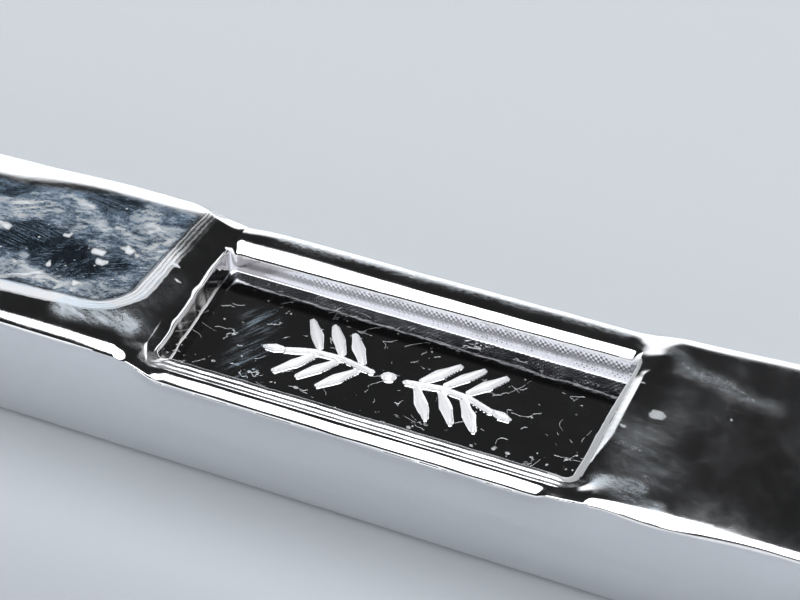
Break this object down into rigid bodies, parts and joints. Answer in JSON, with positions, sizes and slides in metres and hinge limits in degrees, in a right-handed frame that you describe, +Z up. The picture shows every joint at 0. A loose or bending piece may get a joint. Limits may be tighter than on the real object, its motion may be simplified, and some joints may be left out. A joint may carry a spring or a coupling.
{
  "type": "solder bar",
  "caption": "Cast solder bar of trapezoidal section, its free face up, with a rectangular stamped pocket in a pressed-down stretch.",
  "frame": {"origin": "middle of the footprint, on the base that the bar lies on", "axes": "+X along the bar, +Y across it towards the side away from the camera, +Z up out of the free face with the stamped pocket"},
  "size_m": [0.335, 0.022, 0.0135],
  "materials": {
    "solder_alloy": "bright as-cast tin alloy: mirror-like free face with scuffs and frosting, matt streaked mould faces"
  },
  "bodies": {
    "root": {"bar": "solder_alloy"}
  },
  "joints": []
}
